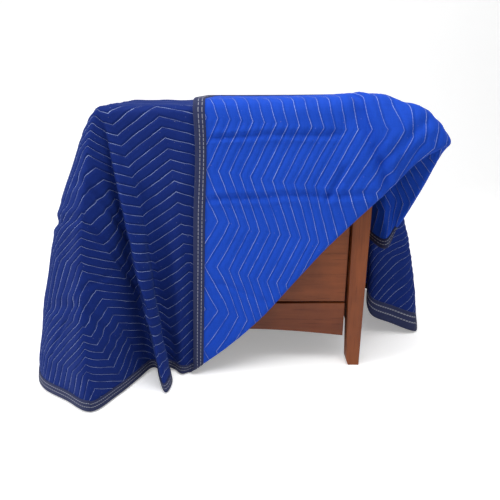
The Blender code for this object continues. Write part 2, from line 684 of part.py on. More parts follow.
def leg(name, x, y, sx, sy, mat, home):
    """Square leg with a straight outer corner, tapered on its inner faces, foot cut on the inner side."""
    rings = []
    for z, size in ((0.0, LEG_FOOT - FOOT_CUT * 0.35), (FOOT_CUT, LEG_FOOT),
                    (PANEL_LOW, 0.5 * (LEG_FOOT + LEG_TOP)), (TOP_Z - TOP_THICK - SEAM, LEG_TOP)):
        rings.append([(x, y, z), (x - sx * size, y, z),
                      (x - sx * size, y - sy * size, z), (x, y - sy * size, z)])
    verts = [p for ring in rings for p in ring]
    faces = [(0, 1, 2, 3), (12, 15, 14, 13)]
    for i in range(3):
        for k in range(4):
            m = (k + 1) % 4
            faces.append((4 * i + k, 4 * i + m, 4 * i + 4 + m, 4 * i + 4 + k))
    obj = new_object(name, verts, faces, mat, home, smooth=False)
    bm = bmesh.new()
    bm.from_mesh(obj.data)
    bmesh.ops.recalc_face_normals(bm, faces=bm.faces)
    bm.to_mesh(obj.data)
    bm.free()
    return obj


def rail(name, a, b, depth_lo, depth_hi, along_x, mat, home):
    """Low rail between two legs, its under edge arched."""
    verts = []
    for i in range(RAIL_STEPS + 1):
        f = i / RAIL_STEPS
        place = a + (b - a) * f
        low = RAIL_LOW + RAIL_ARCH * math.sin(math.pi * f)
        for depth, z in ((depth_lo, low), (depth_hi, low), (depth_hi, RAIL_HIGH), (depth_lo, RAIL_HIGH)):
            verts.append((place, depth, z) if along_x else (depth, place, z))
    faces = [(0, 1, 2, 3)]
    e = 4 * RAIL_STEPS
    faces.append((e, e + 3, e + 2, e + 1))
    for i in range(RAIL_STEPS):
        for k in range(4):
            m = (k + 1) % 4
            faces.append((4 * i + k, 4 * i + m, 4 * i + 4 + m, 4 * i + 4 + k))
    obj = new_object(name, verts, faces, mat, home, smooth=False)
    bm = bmesh.new()
    bm.from_mesh(obj.data)
    bmesh.ops.recalc_face_normals(bm, faces=bm.faces)
    bm.to_mesh(obj.data)
    bm.free()
    return obj


def build_table(mat, home):
    under = TOP_Z - TOP_THICK
    block("table_top", (LEFT, FRONT, under), (RIGHT, BACK, TOP_Z), mat, home, bevel=TOP_ROUND)
    x0 = LEFT + LEG_INSET
    x1 = RIGHT - LEG_INSET
    y0 = FRONT + LEG_INSET
    y1 = BACK - LEG_INSET
    leg("leg_front_left", x0, y0, -1, -1, mat, home)
    leg("leg_front_right", x1, y0, 1, -1, mat, home)
    leg("leg_back_left", x0, y1, -1, 1, mat, home)
    leg("leg_back_right", x1, y1, 1, 1, mat, home)
    inner = LEG_TOP + 2 * SEAM
    high = under - SEAM
    px = (x0 + inner, x1 - inner)
    py = (y0 + inner, y1 - inner)
    back = PANEL_BACKSET
    for name, lo, hi in (
            ("panel_front", (px[0], y0 + back, PANEL_LOW), (px[1], y0 + back + PANEL_THICK, high)),
            ("panel_back", (px[0], y1 - back - PANEL_THICK, PANEL_LOW), (px[1], y1 - back, high)),
            ("panel_left", (x0 + back, py[0], PANEL_LOW), (x0 + back + PANEL_THICK, py[1], high)),
            ("panel_right", (x1 - back - PANEL_THICK, py[0], PANEL_LOW), (x1 - back, py[1], high))):
        block(name, lo, hi, mat, home)
    thick = PANEL_THICK + 0.004
    rail("rail_front", px[0], px[1], y0 + back - 0.004, y0 + back - 0.004 + thick, True, mat, home)
    rail("rail_back", px[0], px[1], y1 - back - PANEL_THICK, y1 - back + 0.004, True, mat, home)
    rail("rail_left", py[0], py[1], x0 + back - 0.004, x0 + back - 0.004 + thick, False, mat, home)
    rail("rail_right", py[0], py[1], x1 - back - PANEL_THICK, x1 - back + 0.004, False, mat, home)


def main():
    clear_scene()
    home = bpy.data.collections.new("draped_blanket_table")
    bpy.context.scene.collection.children.link(home)
    quilt = material("quilted_cloth", (0.02, 0.05, 0.30), 0.8)
    binding = material("binding_cloth", (0.03, 0.04, 0.10), 0.85)
    wood = material("stained_wood", (0.22, 0.07, 0.035), 0.45)
    falls = fall_grid()
    build_blanket(falls, quilt, home)
    build_bindings(falls, binding, home)
    build_table(wood, home)


main()
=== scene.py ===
# %% [markdown]
# # A quilted moving blanket thrown over a side table
# The blanket is one large sheet: two cotton faces with thin padding between them, held by zigzag
# stitching, and a darker binding sewn round the edge. One front corner is folded back over the top,
# so the brighter reverse side shows. The table under it is plain reddish wood.
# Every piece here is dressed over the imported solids, in the same place and size.

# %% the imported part
import math

import bpy
import numpy as np
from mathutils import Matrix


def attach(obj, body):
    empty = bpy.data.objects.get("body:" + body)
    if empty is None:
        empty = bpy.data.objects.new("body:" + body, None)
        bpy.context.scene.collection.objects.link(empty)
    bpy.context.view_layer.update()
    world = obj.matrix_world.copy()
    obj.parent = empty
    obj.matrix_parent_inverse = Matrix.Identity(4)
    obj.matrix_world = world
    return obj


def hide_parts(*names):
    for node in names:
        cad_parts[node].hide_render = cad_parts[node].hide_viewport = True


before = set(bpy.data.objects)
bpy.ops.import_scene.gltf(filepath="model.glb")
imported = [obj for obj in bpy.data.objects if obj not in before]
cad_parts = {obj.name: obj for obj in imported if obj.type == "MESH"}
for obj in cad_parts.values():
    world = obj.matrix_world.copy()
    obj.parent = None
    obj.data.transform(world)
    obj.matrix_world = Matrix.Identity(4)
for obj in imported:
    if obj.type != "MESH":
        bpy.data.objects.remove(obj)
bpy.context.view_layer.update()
print("packed nodes:", len(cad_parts))

# %% [markdown]
# ## Sizes
# The table and the flat blanket are given in metres. The fall lines say how the cloth leaves the
# table top: each row starts at the top's edge and ends on the hem, clockwise round the table.
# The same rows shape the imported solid, so the dressed cloth lies on it.

# %% table and blanket sizes
TOP_Z = 0.745
LEFT = -0.385
RIGHT = 0.335
FRONT = 0.0
BACK = 0.42
TOP_ROUND = 0.012
CENTRE = np.array([-0.0794, 0.3531, 0.0])
WIDTH = 1.83
LENGTH = 2.03
BIND = 0.028
TURN = math.radians(9.7)
FOLD_S = 0.80
FOLD_X = -0.15
FOLD_ANGLE = math.radians(48.4) - TURN
LIFT = 0.0070
HANG = 0.0070
LAYER_GAP = 0.0160
LOFT = 0.012
LOFT_REACH = 0.20
SIDE_LOFT = 0.006
SIDE_REACH = 0.08
LIFT_SPAN = 0.040
LOFT_RISE = 0.05
SLIDE = 0.064
SLIDE_END = 0.50
REST_Z = TOP_Z + LIFT
FLOOR_Z = 0.0036
ROUND_OUT = 0.022
FINE = 10
DOWN = 40
SOFT_ROWS = 1.6
GROW_TO = 0.40
TURN_ROWS = 0.5
LEAN_SHARE = 0.8
BOW_START = 1.5
BOW_END = 2.5
HANG_BEND = 0.45
PAST_HEM = 1.06
ON_FOLD = -1.0
print(f"blanket {WIDTH} x {LENGTH} m on a table {RIGHT - LEFT:.2f} x {BACK - FRONT:.2f} x {TOP_Z} m")

# %% fall lines
# name, top x, top y, pattern s, pattern t, end x, end y, end z, bow outward
FALLS = (
    ("fold_foot", -0.160, 0.012, 0.800, 0.000, -0.168, -0.034, 0.006, 0.000),
    ("front_a", -0.205, 0.012, 0.745, 0.000, -0.198, -0.046, 0.004, 0.000),
    ("front_b", -0.260, 0.012, 0.690, 0.000, -0.222, -0.026, 0.006, -0.004),
    ("valley", -0.310, 0.012, 0.650, 0.000, -0.240, -0.030, 0.012, -0.010),
    ("tube_right", -0.345, 0.012, 0.605, 0.000, -0.221, -0.088, 0.006, -0.004),
    ("tube_tip", -0.373, 0.012, 0.560, 0.000, -0.230, -0.136, 0.004, 0.004),
    ("tube_left", -0.373, 0.012, 0.515, 0.000, -0.252, -0.090, 0.006, 0.000),
    ("pleat_a", -0.373, 0.012, 0.450, 0.000, -0.268, -0.034, 0.010, -0.004),
    ("pleat_b", -0.373, 0.012, 0.380, 0.000, -0.292, -0.026, 0.010, -0.004),
    ("pleat_c", -0.373, 0.012, 0.290, 0.000, -0.320, -0.074, 0.006, 0.000),
    ("skirt_a", -0.373, 0.012, 0.150, 0.000, -0.360, -0.148, 0.004, 0.012),
    ("near_corner", -0.373, 0.012, 0.000, 0.000, -0.411, -0.216, 0.004, 0.020),
    ("left_a", -0.373, 0.012, 0.000, 0.130, -0.490, -0.170, 0.004, 0.019),
    ("left_b", -0.373, 0.012, 0.000, 0.270, -0.572, -0.116, 0.004, 0.018),
    ("left_c", -0.373, 0.012, 0.000, 0.400, -0.612, -0.048, 0.004, 0.018),
    ("left_d", -0.373, 0.012, 0.000, 0.550, -0.622, 0.050, 0.012, 0.018),
    ("left_e", -0.373, 0.012, 0.000, 0.730, -0.575, 0.120, 0.060, 0.008),
    ("left_f", -0.373, 0.060, 0.000, 0.940, -0.520, 0.180, 0.060, 0.004),
    ("left_g", -0.373, 0.230, 0.000, 1.130, -0.535, 0.290, 0.030, 0.006),
    ("left_h", -0.373, 0.408, 0.000, 1.330, -0.570, 0.440, 0.020, 0.010),
    ("back_left_a", -0.373, 0.408, 0.000, 1.600, -0.700, 0.600, 0.006, 0.020),
    ("back_left_b", -0.373, 0.408, 0.000, 1.850, -0.740, 0.790, 0.004, 0.030),
    ("far_left", -0.373, 0.408, 0.000, 2.030, -0.700, 0.920, 0.004, 0.030),
    ("back_a", -0.373, 0.408, 0.250, 2.030, -0.610, 0.860, 0.004, 0.020),
    ("back_b", -0.373, 0.408, 0.500, 2.030, -0.480, 0.760, 0.004, 0.012),
    ("back_c", -0.373, 0.408, 0.700, 2.030, -0.330, 0.760, 0.004, 0.012),
    ("back_d", -0.240, 0.408, 0.870, 2.030, -0.160, 0.810, 0.004, 0.020),
    ("back_e", -0.060, 0.408, 1.040, 2.030, 0.020, 0.800, 0.004, 0.020),
    ("back_f", 0.140, 0.408, 1.210, 2.030, 0.190, 0.740, 0.004, 0.016),
    ("back_g", 0.323, 0.408, 1.370, 2.030, 0.380, 0.650, 0.004, 0.018),
    ("back_h", 0.323, 0.408, 1.530, 2.030, 0.530, 0.500, 0.004, 0.034),
    ("back_i", 0.323, 0.408, 1.690, 2.030, 0.575, 0.330, 0.004, 0.036),
    ("far_corner", 0.323, 0.408, 1.830, 2.030, 0.567, 0.208, 0.004, 0.036),
    ("right_h", 0.323, 0.408, 1.830, 1.920, 0.470, 0.190, 0.045, 0.030),
    ("right_g", 0.323, 0.408, 1.830, 1.820, 0.402, 0.188, 0.078, 0.020),
    ("right_f", 0.323, 0.408, 1.830, 1.730, 0.398, 0.235, 0.120, 0.012),
    ("right_e", 0.323, 0.408, 1.830, 1.600, 0.436, 0.285, 0.170, 0.010),
    ("right_d", 0.323, 0.408, 1.830, 1.460, 0.447, 0.345, 0.250, 0.006),
    ("right_c", 0.323, 0.408, 1.830, 1.300, 0.415, 0.400, 0.330, 0.002),
    ("right_b", 0.323, 0.408, 1.830, 1.150, 0.376, 0.410, 0.390, 0.000),
    ("right_a", 0.323, 0.330, 1.830, 1.030, 0.362, 0.300, 0.365, 0.000),
    ("hem_b", 0.323, 0.250, 1.830, 0.950, 0.374, 0.185, 0.345, 0.000),
    ("hem_a", 0.323, 0.190, 1.830, 0.885, 0.408, 0.125, 0.330, 0.006),
    ("fold_end", 0.323, 0.150, 1.830, -1.000, 0.440, 0.145, 0.368, 0.014),
    ("nose_d", 0.323, 0.080, 1.700, -1.000, 0.484, 0.100, 0.500, 0.015),
    ("nose_c", 0.323, 0.012, 1.600, -1.000, 0.505, 0.035, 0.615, 0.013),
    ("nose_tip", 0.323, 0.012, 1.550, -1.000, 0.496, -0.018, 0.646, 0.011),
    ("nose_b", 0.323, 0.012, 1.490, -1.000, 0.425, -0.030, 0.615, 0.009),
    ("nose_a", 0.320, 0.012, 1.390, -1.000, 0.345, -0.028, 0.528, 0.008),
    ("diag_d", 0.210, 0.012, 1.260, -1.000, 0.213, -0.022, 0.386, 0.000),
    ("diag_c", 0.120, 0.012, 1.150, -1.000, 0.125, -0.020, 0.281, 0.000),
    ("diag_b", 0.030, 0.012, 1.030, -1.000, 0.030, -0.022, 0.168, 0.000),
    ("diag_a", -0.070, 0.012, 0.895, -1.000, -0.070, -0.026, 0.075, 0.000),
)
print("fall lines:", len(FALLS))

# %% [markdown]
# ## From the flat pattern to the hanging cloth
# A point of the flat pattern (s to the right, t from the front edge to the back) lies on the table
# top where it can, and past the top's edge it slides down between two fall lines. Past the diagonal
# fold it is the mirrored point, one layer further out. Lengths are kept only roughly, so the cloth is
# pressed together in places, most along its edges.

# %% pattern and flat sheet
FOLD_WAY = np.array([math.cos(FOLD_ANGLE), math.sin(FOLD_ANGLE)])
FOLD_SIDE = np.array([FOLD_WAY[1], -FOLD_WAY[0]])
FOLD_FOOT = np.array([FOLD_S, 0.0])


def fold_split(points):
    """Distances along the fold and past it: the dot products with its direction and its side."""
    rel = points - FOLD_FOOT
    return rel @ FOLD_WAY, rel @ FOLD_SIDE


def fold_t(s):
    """Pattern t where the fold crosses s: the tangent of its angle times the run."""
    return (s - FOLD_S) * math.tan(FOLD_ANGLE)


def flat_to_pattern(x, w):
    """Turns a place of the unfolded sheet by the blanket's turn on the table, about the fold's foot."""
    c = math.cos(TURN)
    k = math.sin(TURN)
    dx = x - FOLD_X
    return np.stack([FOLD_S + c * dx + k * w, -k * dx + c * w], axis=-1)


def pattern_to_flat(points):
    """The same turn backwards."""
    c = math.cos(TURN)
    k = math.sin(TURN)
    ds = points[:, 0] - FOLD_S
    t = points[:, 1]
    return FOLD_X + c * ds - k * t, k * ds + c * t


# %% fall grid
def spread(rows, smooth):
    """Closed table column to FINE steps a row: a cubic through the rows where smooth, else straight."""
    rows = np.asarray(rows, float)
    a = (np.arange(FINE) / FINE)[None, :, None]
    p0 = np.roll(rows, 1, axis=0)[:, None]
    p1 = rows[:, None]
    p2 = np.roll(rows, -1, axis=0)[:, None]
    p3 = np.roll(rows, -2, axis=0)[:, None]
    if not smooth:
        return (p1 + (p2 - p1) * a).reshape(-1, rows.shape[1])
    m1 = (p2 - p0) / 2
    m2 = (p3 - p1) / 2
    curve = ((2 * a**3 - 3 * a**2 + 1) * p1 + (a**3 - 2 * a**2 + a) * m1
             + (3 * a**2 - 2 * a**3) * p2 + (a**3 - a**2) * m2)
    return curve.reshape(-1, rows.shape[1])


def soften(values, steps):
    """Closed running average: the values convolved with a bell of the given width in steps."""
    n = len(values)
    k = np.arange(n)
    bell = np.exp(-0.5 * (np.minimum(k, n - k) / steps) ** 2)
    bell /= bell.sum()
    return np.real(np.fft.ifft(np.fft.fft(bell)[:, None] * np.fft.fft(values, axis=0), axis=0))


def push_clear(p, clearance):
    """A point inside the table's rounded block, grown by the clearance, moves straight out to its skin."""
    lo = np.array([LEFT + TOP_ROUND, FRONT + TOP_ROUND, -1.0])
    hi = np.array([RIGHT - TOP_ROUND, BACK - TOP_ROUND, TOP_Z - TOP_ROUND])
    need = TOP_ROUND + clearance
    near = np.clip(p, lo, hi)
    gap = p - near
    dist = np.linalg.norm(gap, axis=-1, keepdims=True)
    inside = dist[..., 0] < 1e-9
    out = np.where(dist < need, near + gap / np.maximum(dist, 1e-9) * need, p)
    if inside.any():
        q = p[inside]
        walls = np.stack([q[:, 0] - lo[0], hi[0] - q[:, 0], q[:, 1] - lo[1], hi[1] - q[:, 1],
                          hi[2] - q[:, 2]], axis=1)
        side = walls.argmin(axis=1)
        q[side == 0, 0] = lo[0] - need
        q[side == 1, 0] = hi[0] + need
        q[side == 2, 1] = lo[1] - need
        q[side == 3, 1] = hi[1] + need
        q[side == 4, 2] = hi[2] + need
        out[inside] = q
    out[..., 2] = np.maximum(out[..., 2], FLOOR_Z)
    return out


def fall_grid():
    """Pattern tops and ends of the fall lines, and points down each: a cubic arc that leaves the
    table's edge outwards, hangs to the softened hem, and takes up the hem's own waves lower down."""
    top = spread([r[1:3] for r in FALLS], False)
    ends = [(r[3], fold_t(r[3]) if r[4] == ON_FOLD else r[4]) for r in FALLS]
    pat_end = spread(ends, False)
    pat_top = flat_to_pattern(top[:, 0], TOP_Z + top[:, 1] - FRONT)
    hem = spread([r[5:8] for r in FALLS], True)
    bow = spread([[r[8]] for r in FALLS], True)
    soft = soften(hem, SOFT_ROWS * FINE)
    start = np.column_stack([top, np.full(len(top), REST_Z)])
    lean = soft[:, :2] - top
    side_x = (top[:, 0] > RIGHT - 2 * TOP_ROUND) * 1.0 - (top[:, 0] < LEFT + 2 * TOP_ROUND)
    side_y = (top[:, 1] > BACK - 2 * TOP_ROUND) * 1.0 - (top[:, 1] < FRONT + 2 * TOP_ROUND)
    edge = np.column_stack([side_x, side_y])
    edge /= np.maximum(np.linalg.norm(edge, axis=1, keepdims=True), 1e-9)
    out = edge + LEAN_SHARE * lean / np.maximum(np.linalg.norm(lean, axis=1, keepdims=True), 1e-9)
    out = soften(out, TURN_ROWS * FINE)
    out /= np.linalg.norm(out, axis=1, keepdims=True)
    out = np.column_stack([out, np.zeros(len(out))])
    v = np.linspace(0, 1, 4 * DOWN)[None, :, None]
    b0 = start[:, None]
    b1 = (start + out * (ROUND_OUT + BOW_START * np.maximum(bow, 0)))[:, None]
    b3 = soft[:, None]
    b2 = b1 + (b3 - b1) * HANG_BEND + (out * bow * BOW_END)[:, None]
    path = (1 - v)**3 * b0 + 3 * v * (1 - v)**2 * b1 + 3 * v**2 * (1 - v) * b2 + v**3 * b3
    step = np.linalg.norm(np.diff(path, axis=1), axis=2)
    run = np.concatenate([np.zeros((len(path), 1)), np.cumsum(step, axis=1)], axis=1)
    run /= run[:, -1:]
    even = np.linspace(0, 1, DOWN)
    grid = np.empty((len(path), DOWN, 3))
    for i in range(len(path)):
        for axis in range(3):
            grid[i, :, axis] = np.interp(even, run[i], path[i, :, axis])
    grow = np.clip(even / GROW_TO, 0, 1)
    grow = (grow * grow * (3 - 2 * grow) * even)[None, :, None]
    return pat_top, pat_end, push_clear(grid + grow * (hem - soft)[:, None], HANG)


falls = fall_grid()
print("points on the fall lines:", falls[2].shape)

# %% single layer
CHUNK = 6000


def hang(q):
    """Place of pattern points off the top: the share between two fall lines and the share down them."""
    pat_top, pat_end, grid = falls
    way = pat_end - pat_top
    size = (way**2).sum(axis=1)
    turn = (way[None, :, 0] * (q[:, None, 1] - pat_top[None, :, 1])
            - way[None, :, 1] * (q[:, None, 0] - pat_top[None, :, 0]))
    ahead = (way[None, :, 0] * (q[:, None, 0] - pat_top[None, :, 0])
             + way[None, :, 1] * (q[:, None, 1] - pat_top[None, :, 1])) / size
    turn_next = np.roll(turn, -1, axis=1)
    both = ahead + np.roll(ahead, -1, axis=1)
    hit = (turn <= 1e-9) & (turn_next > -1e-9) & (both > -0.02)
    i = np.where(hit, np.abs(both), 1e6).argmin(axis=1)
    k = np.arange(len(q))
    root = np.sqrt(size)
    a = -turn[k, i] / root[i]
    b = turn_next[k, i] / np.roll(root, -1)[i]
    frac = (a / np.maximum(a + b, 1e-12))[:, None]
    j = (i + 1) % len(way)
    t0 = pat_top[i] + (pat_top[j] - pat_top[i]) * frac
    line = pat_end[i] + (pat_end[j] - pat_end[i]) * frac - t0
    v = ((q - t0) * line).sum(axis=1) / (line**2).sum(axis=1)
    place = np.clip(v, 0, PAST_HEM) * (DOWN - 1)
    cell = np.clip(place.astype(int), 0, DOWN - 2)
    part = (place - cell)[:, None]
    near = grid[i, cell] * (1 - part) + grid[i, cell + 1] * part
    far = grid[j, cell] * (1 - part) + grid[j, cell + 1] * part
    return near + (far - near) * frac


def base_surface(points):
    """The single layer: flat on the table top, along the fall lines outside it."""
    flat_x, flat_w = pattern_to_flat(points)
    out = np.column_stack([flat_x, flat_w - TOP_Z + FRONT, np.full(len(points), REST_Z)])
    off = np.flatnonzero((flat_x < LEFT + TOP_ROUND) | (flat_x > RIGHT - TOP_ROUND)
                         | (out[:, 1] < FRONT + TOP_ROUND) | (out[:, 1] > BACK - TOP_ROUND))
    for first in range(0, len(off), CHUNK):
        some = off[first:first + CHUNK]
        out[some] = hang(points[some])
    return out


def base_normal(points, step):
    """Outward normal of the single layer: the cross product of differences over a step each way."""
    ds = np.array([step, 0.0])
    dt = np.array([0.0, step])
    n = np.cross(base_surface(points + ds) - base_surface(points - ds),
                 base_surface(points + dt) - base_surface(points - dt))
    return n / np.maximum(np.linalg.norm(n, axis=1, keepdims=True), 1e-12)


def drape(points):
    """The whole cloth: the single layer, a half round at the fold, and past it the mirrored layer."""
    along, past = fold_split(points)
    r = LAYER_GAP / 2
    reach = math.pi * r / 2
    bend = np.clip((past + reach) / r, 0, math.pi)
    inplane = np.where(past < -reach, past, np.where(past > reach, -past, -reach + r * np.sin(bend)))
    lift = r * (1 - np.cos(bend))
    q = FOLD_FOOT + along[:, None] * FOLD_WAY + inplane[:, None] * FOLD_SIDE
    slide = SLIDE * np.clip(past, 0, SLIDE_END)[:, None]
    q = q - slide * np.array([math.cos(TURN), -math.sin(TURN)])
    corner = flat_to_pattern(RIGHT - TOP_ROUND, TOP_Z + TOP_ROUND)
    away = np.linalg.norm(q - corner, axis=1) / LOFT_REACH
    beside = np.clip((pattern_to_flat(q)[0] - RIGHT) / SIDE_REACH, 0, 1)
    lift = lift + np.maximum(LOFT * np.exp(-away**2), SIDE_LOFT * beside) * np.clip(past / LOFT_RISE, 0, 1)
    out = base_surface(q)
    up = lift > 0
    if up.any():
        out[up] += base_normal(q[up], LIFT_SPAN) * lift[up, None]
    out[:, 2] = np.maximum(out[:, 2], FLOOR_Z)
    return out


# %% [markdown]
# ## The quilted panel
# The stitching is a zigzag that repeats every 252 mm along the rows, with rows 28 mm apart. Between
# two rows the padding puffs up. On top of that come packing creases, where the blanket was folded
# for storage, and slow uneven waves. All of it is a small shift along the cloth's normal.

# %% quilting and creases
PITCH = 0.028
HALF = 0.126
RISE = 0.058
SHIFT_FACE = 0.039
SHIFT_FLAP = SHIFT_FACE + HALF - 0.05
PUFF = 0.0022
WAVE = 0.0011
TOUCH = 0.0030
EDGE_FADE = 0.030
RIDGE = 0.45
# Soft troughs, in the pattern: s0, t0, s1, t1, width, depth
CREASES = (
    (1.472, 0.02, 1.500, 0.18, 0.0060, 0.0060),
    (1.500, 0.18, 1.513, 0.36, 0.0060, 0.0060),
    (1.317, 0.00, 1.365, 0.22, 0.0065, 0.0056),
    (1.365, 0.22, 1.394, 0.45, 0.0065, 0.0056),
    (1.600, 0.370, 1.507, 0.422, 0.0100, 0.0120),
    (1.507, 0.422, 1.405, 0.475, 0.0100, 0.0120),
    (1.448, 0.378, 1.370, 0.345, 0.0070, 0.0070),
    (1.450, 0.440, 1.560, 0.530, 0.0080, 0.0050),
    (1.10, 0.03, 1.09, 0.22, 0.0070, 0.0026),
    (0.52, 0.62, 0.62, 0.18, 0.0120, 0.0050),
    (0.40, 0.70, 0.50, 0.25, 0.0120, 0.0045),
    (0.22, 0.42, 0.30, 0.12, 0.0140, 0.0045),
    (0.08, 0.30, 0.44, 0.34, 0.0070, 0.0028),
    (0.12, 0.62, 0.46, 0.66, 0.0070, 0.0028),
    (0.30, 1.45, 0.20, 1.90, 0.0120, 0.0045),
    (0.80, 1.40, 0.82, 1.95, 0.0120, 0.0040),
    (1.20, 1.42, 1.24, 1.90, 0.0120, 0.0040),
    (0.30, 1.62, 1.55, 1.60, 0.0070, 0.0028),
)


def stitch_phase(s, t, past):
    """Rows past the front edge: t less the zigzag's rise at s, over the pitch. The flap's zigzag
    starts less than half a repeat later."""
    shift = np.where(past > 0, SHIFT_FLAP, SHIFT_FACE)
    fold = np.abs(((s + shift) / HALF) % 2 - 1)
    return (t - RISE * (1 - fold)) / PITCH


def crease_depth(points):
    """Sum over the table of a soft trough: minus the depth times a bell of the distance to the line."""
    out = np.zeros(len(points))
    for s0, t0, s1, t1, width, depth in CREASES:
        a = np.array([s0, t0])
        d = np.array([s1, t1]) - a
        f = ((points - a) @ d) / (d @ d)
        gap = np.linalg.norm(points - a - np.clip(f, 0, 1)[:, None] * d, axis=1)
        fade = np.clip(np.minimum(f, 1 - f) * 4 + 0.5, 0, 1)
        trough = np.exp(-(gap / width)**2) - RIDGE * np.exp(-((gap - 2 * width) / width)**2)
        out -= depth * fade * trough
    return out


def waves(points):
    """Slow unevenness: a few sines of both pattern directions with lengths of 9 to 30 cm."""
    s = points[:, 0]
    t = points[:, 1]
    return WAVE * (np.sin(31 * s + 9 * np.sin(7 * t)) * np.sin(23 * t + 2)
                   + 0.6 * np.sin(58 * s - 21 * t) + 0.5 * np.sin(44 * t + 17 * s + 1))


# %% panel mesh
GRID_S = 306
GRID_T = 322
RIM = 0.007


def grid_faces(rows, columns, close_columns=False):
    """Four-sided faces of a grid of points, row by row, optionally closed round the columns."""
    i = np.arange(rows - 1)[:, None]
    j = np.arange(columns if close_columns else columns - 1)[None, :]
    k = (j + 1) % columns
    a = i * columns + j
    b = (i + 1) * columns + j
    c = (i + 1) * columns + k
    d = i * columns + k
    return np.stack([a, b, c, d], axis=-1).reshape(-1, 4)


def sheet_normals(places, rows, columns):
    """Normals of a grid: the cross product of central differences along its two directions."""
    p = places.reshape(rows, columns, 3)
    n = np.cross(np.gradient(p, axis=0), np.gradient(p, axis=1)).reshape(-1, 3)
    return n / np.maximum(np.linalg.norm(n, axis=1, keepdims=True), 1e-12)


def make_mesh(name, places, faces, uv, mat):
    """Puts arrays of points, faces and one UV pair a point into a smooth mesh object."""
    mesh = bpy.data.meshes.new(name)
    mesh.from_pydata((places - CENTRE).tolist(), [], faces.tolist())
    mesh.update()
    layer = mesh.uv_layers.new(name="pattern")
    corner = np.empty(len(mesh.loops), np.int32)
    mesh.loops.foreach_get("vertex_index", corner)
    layer.data.foreach_set("uv", uv[corner].astype(np.float32).ravel())
    mesh.shade_smooth()
    mesh.materials.append(mat)
    obj = bpy.data.objects.new(name, mesh)
    bpy.context.scene.collection.objects.link(obj)
    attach(obj, "root")
    return obj


def panel_points():
    """The grid over the flat panel, draped, then moved along its normal by quilting, creases and waves."""
    s, t = np.meshgrid(np.linspace(RIM, WIDTH - RIM, GRID_S), np.linspace(RIM, LENGTH - RIM, GRID_T),
                       indexing="ij")
    flat = np.column_stack([s.ravel(), t.ravel()])
    middle = drape(flat)
    normal = sheet_normals(middle, GRID_S, GRID_T)
    _, past = fold_split(flat)
    phase = stitch_phase(flat[:, 0], flat[:, 1], past)
    puff = PUFF * (np.abs(np.sin(math.pi * phase)) - 0.6)
    side = np.tanh(-past / LAYER_GAP)
    rim = np.minimum.reduce([flat[:, 0], WIDTH - flat[:, 0], flat[:, 1], LENGTH - flat[:, 1]])
    fade = np.clip((rim - BIND * 0.8) / EDGE_FADE, 0, 1)
    shift = side * fade * (puff + crease_depth(flat) + waves(flat))
    places = push_clear(middle + normal * shift[:, None], TOUCH)
    return flat, places


panel_flat, panel_places = panel_points()
print("panel points:", len(panel_places))

# %% [markdown]
# ## Shader groups
# Effects that several materials share are built once as node groups: the zigzag stitch rows, a plain
# weave, fading and dust, and wood grain. Each puts out only masks and heights.

# %% node helpers
def new_group(name, inputs, outputs):
    """Empty shader group with named sockets. Inputs are (name, kind, value)."""
    group = bpy.data.node_groups.new(name, "ShaderNodeTree")
    for label, kind, value in inputs:
        sock = group.interface.new_socket(name=label, in_out="INPUT", socket_type=kind)
        if value is not None:
            sock.default_value = value
    for label, kind in outputs:
        group.interface.new_socket(name=label, in_out="OUTPUT", socket_type=kind)
    return group, group.nodes.new("NodeGroupInput"), group.nodes.new("NodeGroupOutput")


def put(tree, value, socket):
    """Links a socket or sets a plain value."""
    if isinstance(value, bpy.types.NodeSocket):
        tree.links.new(value, socket)
    else:
        socket.default_value = value


def math_node(tree, operation, *values, clamp=False):
    node = tree.nodes.new("ShaderNodeMath")
    node.operation = operation
    node.use_clamp = clamp
    for k, value in enumerate(values):
        put(tree, value, node.inputs[k])
    return node.outputs[0]


def noise_node(tree, vector, scale, detail=3.0, rough=0.55):
    node = tree.nodes.new("ShaderNodeTexNoise")
    put(tree, vector, node.inputs["Vector"])
    put(tree, scale, node.inputs["Scale"])
    node.inputs["Detail"].default_value = detail
    node.inputs["Roughness"].default_value = rough
    return node.outputs["Fac"]


def stretch(tree, vector, size, turn=0.0):
    node = tree.nodes.new("ShaderNodeMapping")
    put(tree, vector, node.inputs["Vector"])
    node.inputs["Scale"].default_value = size
    node.inputs["Rotation"].default_value = (0.0, 0.0, turn)
    return node.outputs["Vector"]


def mix_colour(tree, share, a, b, blend="MIX"):
    node = tree.nodes.new("ShaderNodeMix")
    node.data_type = "RGBA"
    node.blend_type = blend
    put(tree, share, node.inputs["Factor"])
    put(tree, a, node.inputs["A"])
    put(tree, b, node.inputs["B"])
    return node.outputs["Result"]


def ramp(tree, value, low, high):
    """0 below low, 1 above high, smooth between."""
    node = tree.nodes.new("ShaderNodeMapRange")
    node.interpolation_type = "SMOOTHSTEP"
    put(tree, value, node.inputs["Value"])
    put(tree, low, node.inputs["From Min"])
    put(tree, high, node.inputs["From Max"])
    return node.outputs["Result"]


def bump(tree, height, distance, strength=1.0, normal=None):
    node = tree.nodes.new("ShaderNodeBump")
    put(tree, height, node.inputs["Height"])
    node.inputs["Distance"].default_value = distance
    node.inputs["Strength"].default_value = strength
    if normal is not None:
        tree.links.new(normal, node.inputs["Normal"])
    return node.outputs["Normal"]


def place_group(tree, group, **values):
    node = tree.nodes.new("ShaderNodeGroup")
    node.node_tree = group
    for label, value in values.items():
        put(tree, value, node.inputs[label.replace("_", " ")])
    return node


FLOAT = "NodeSocketFloat"
VECTOR = "NodeSocketVector"


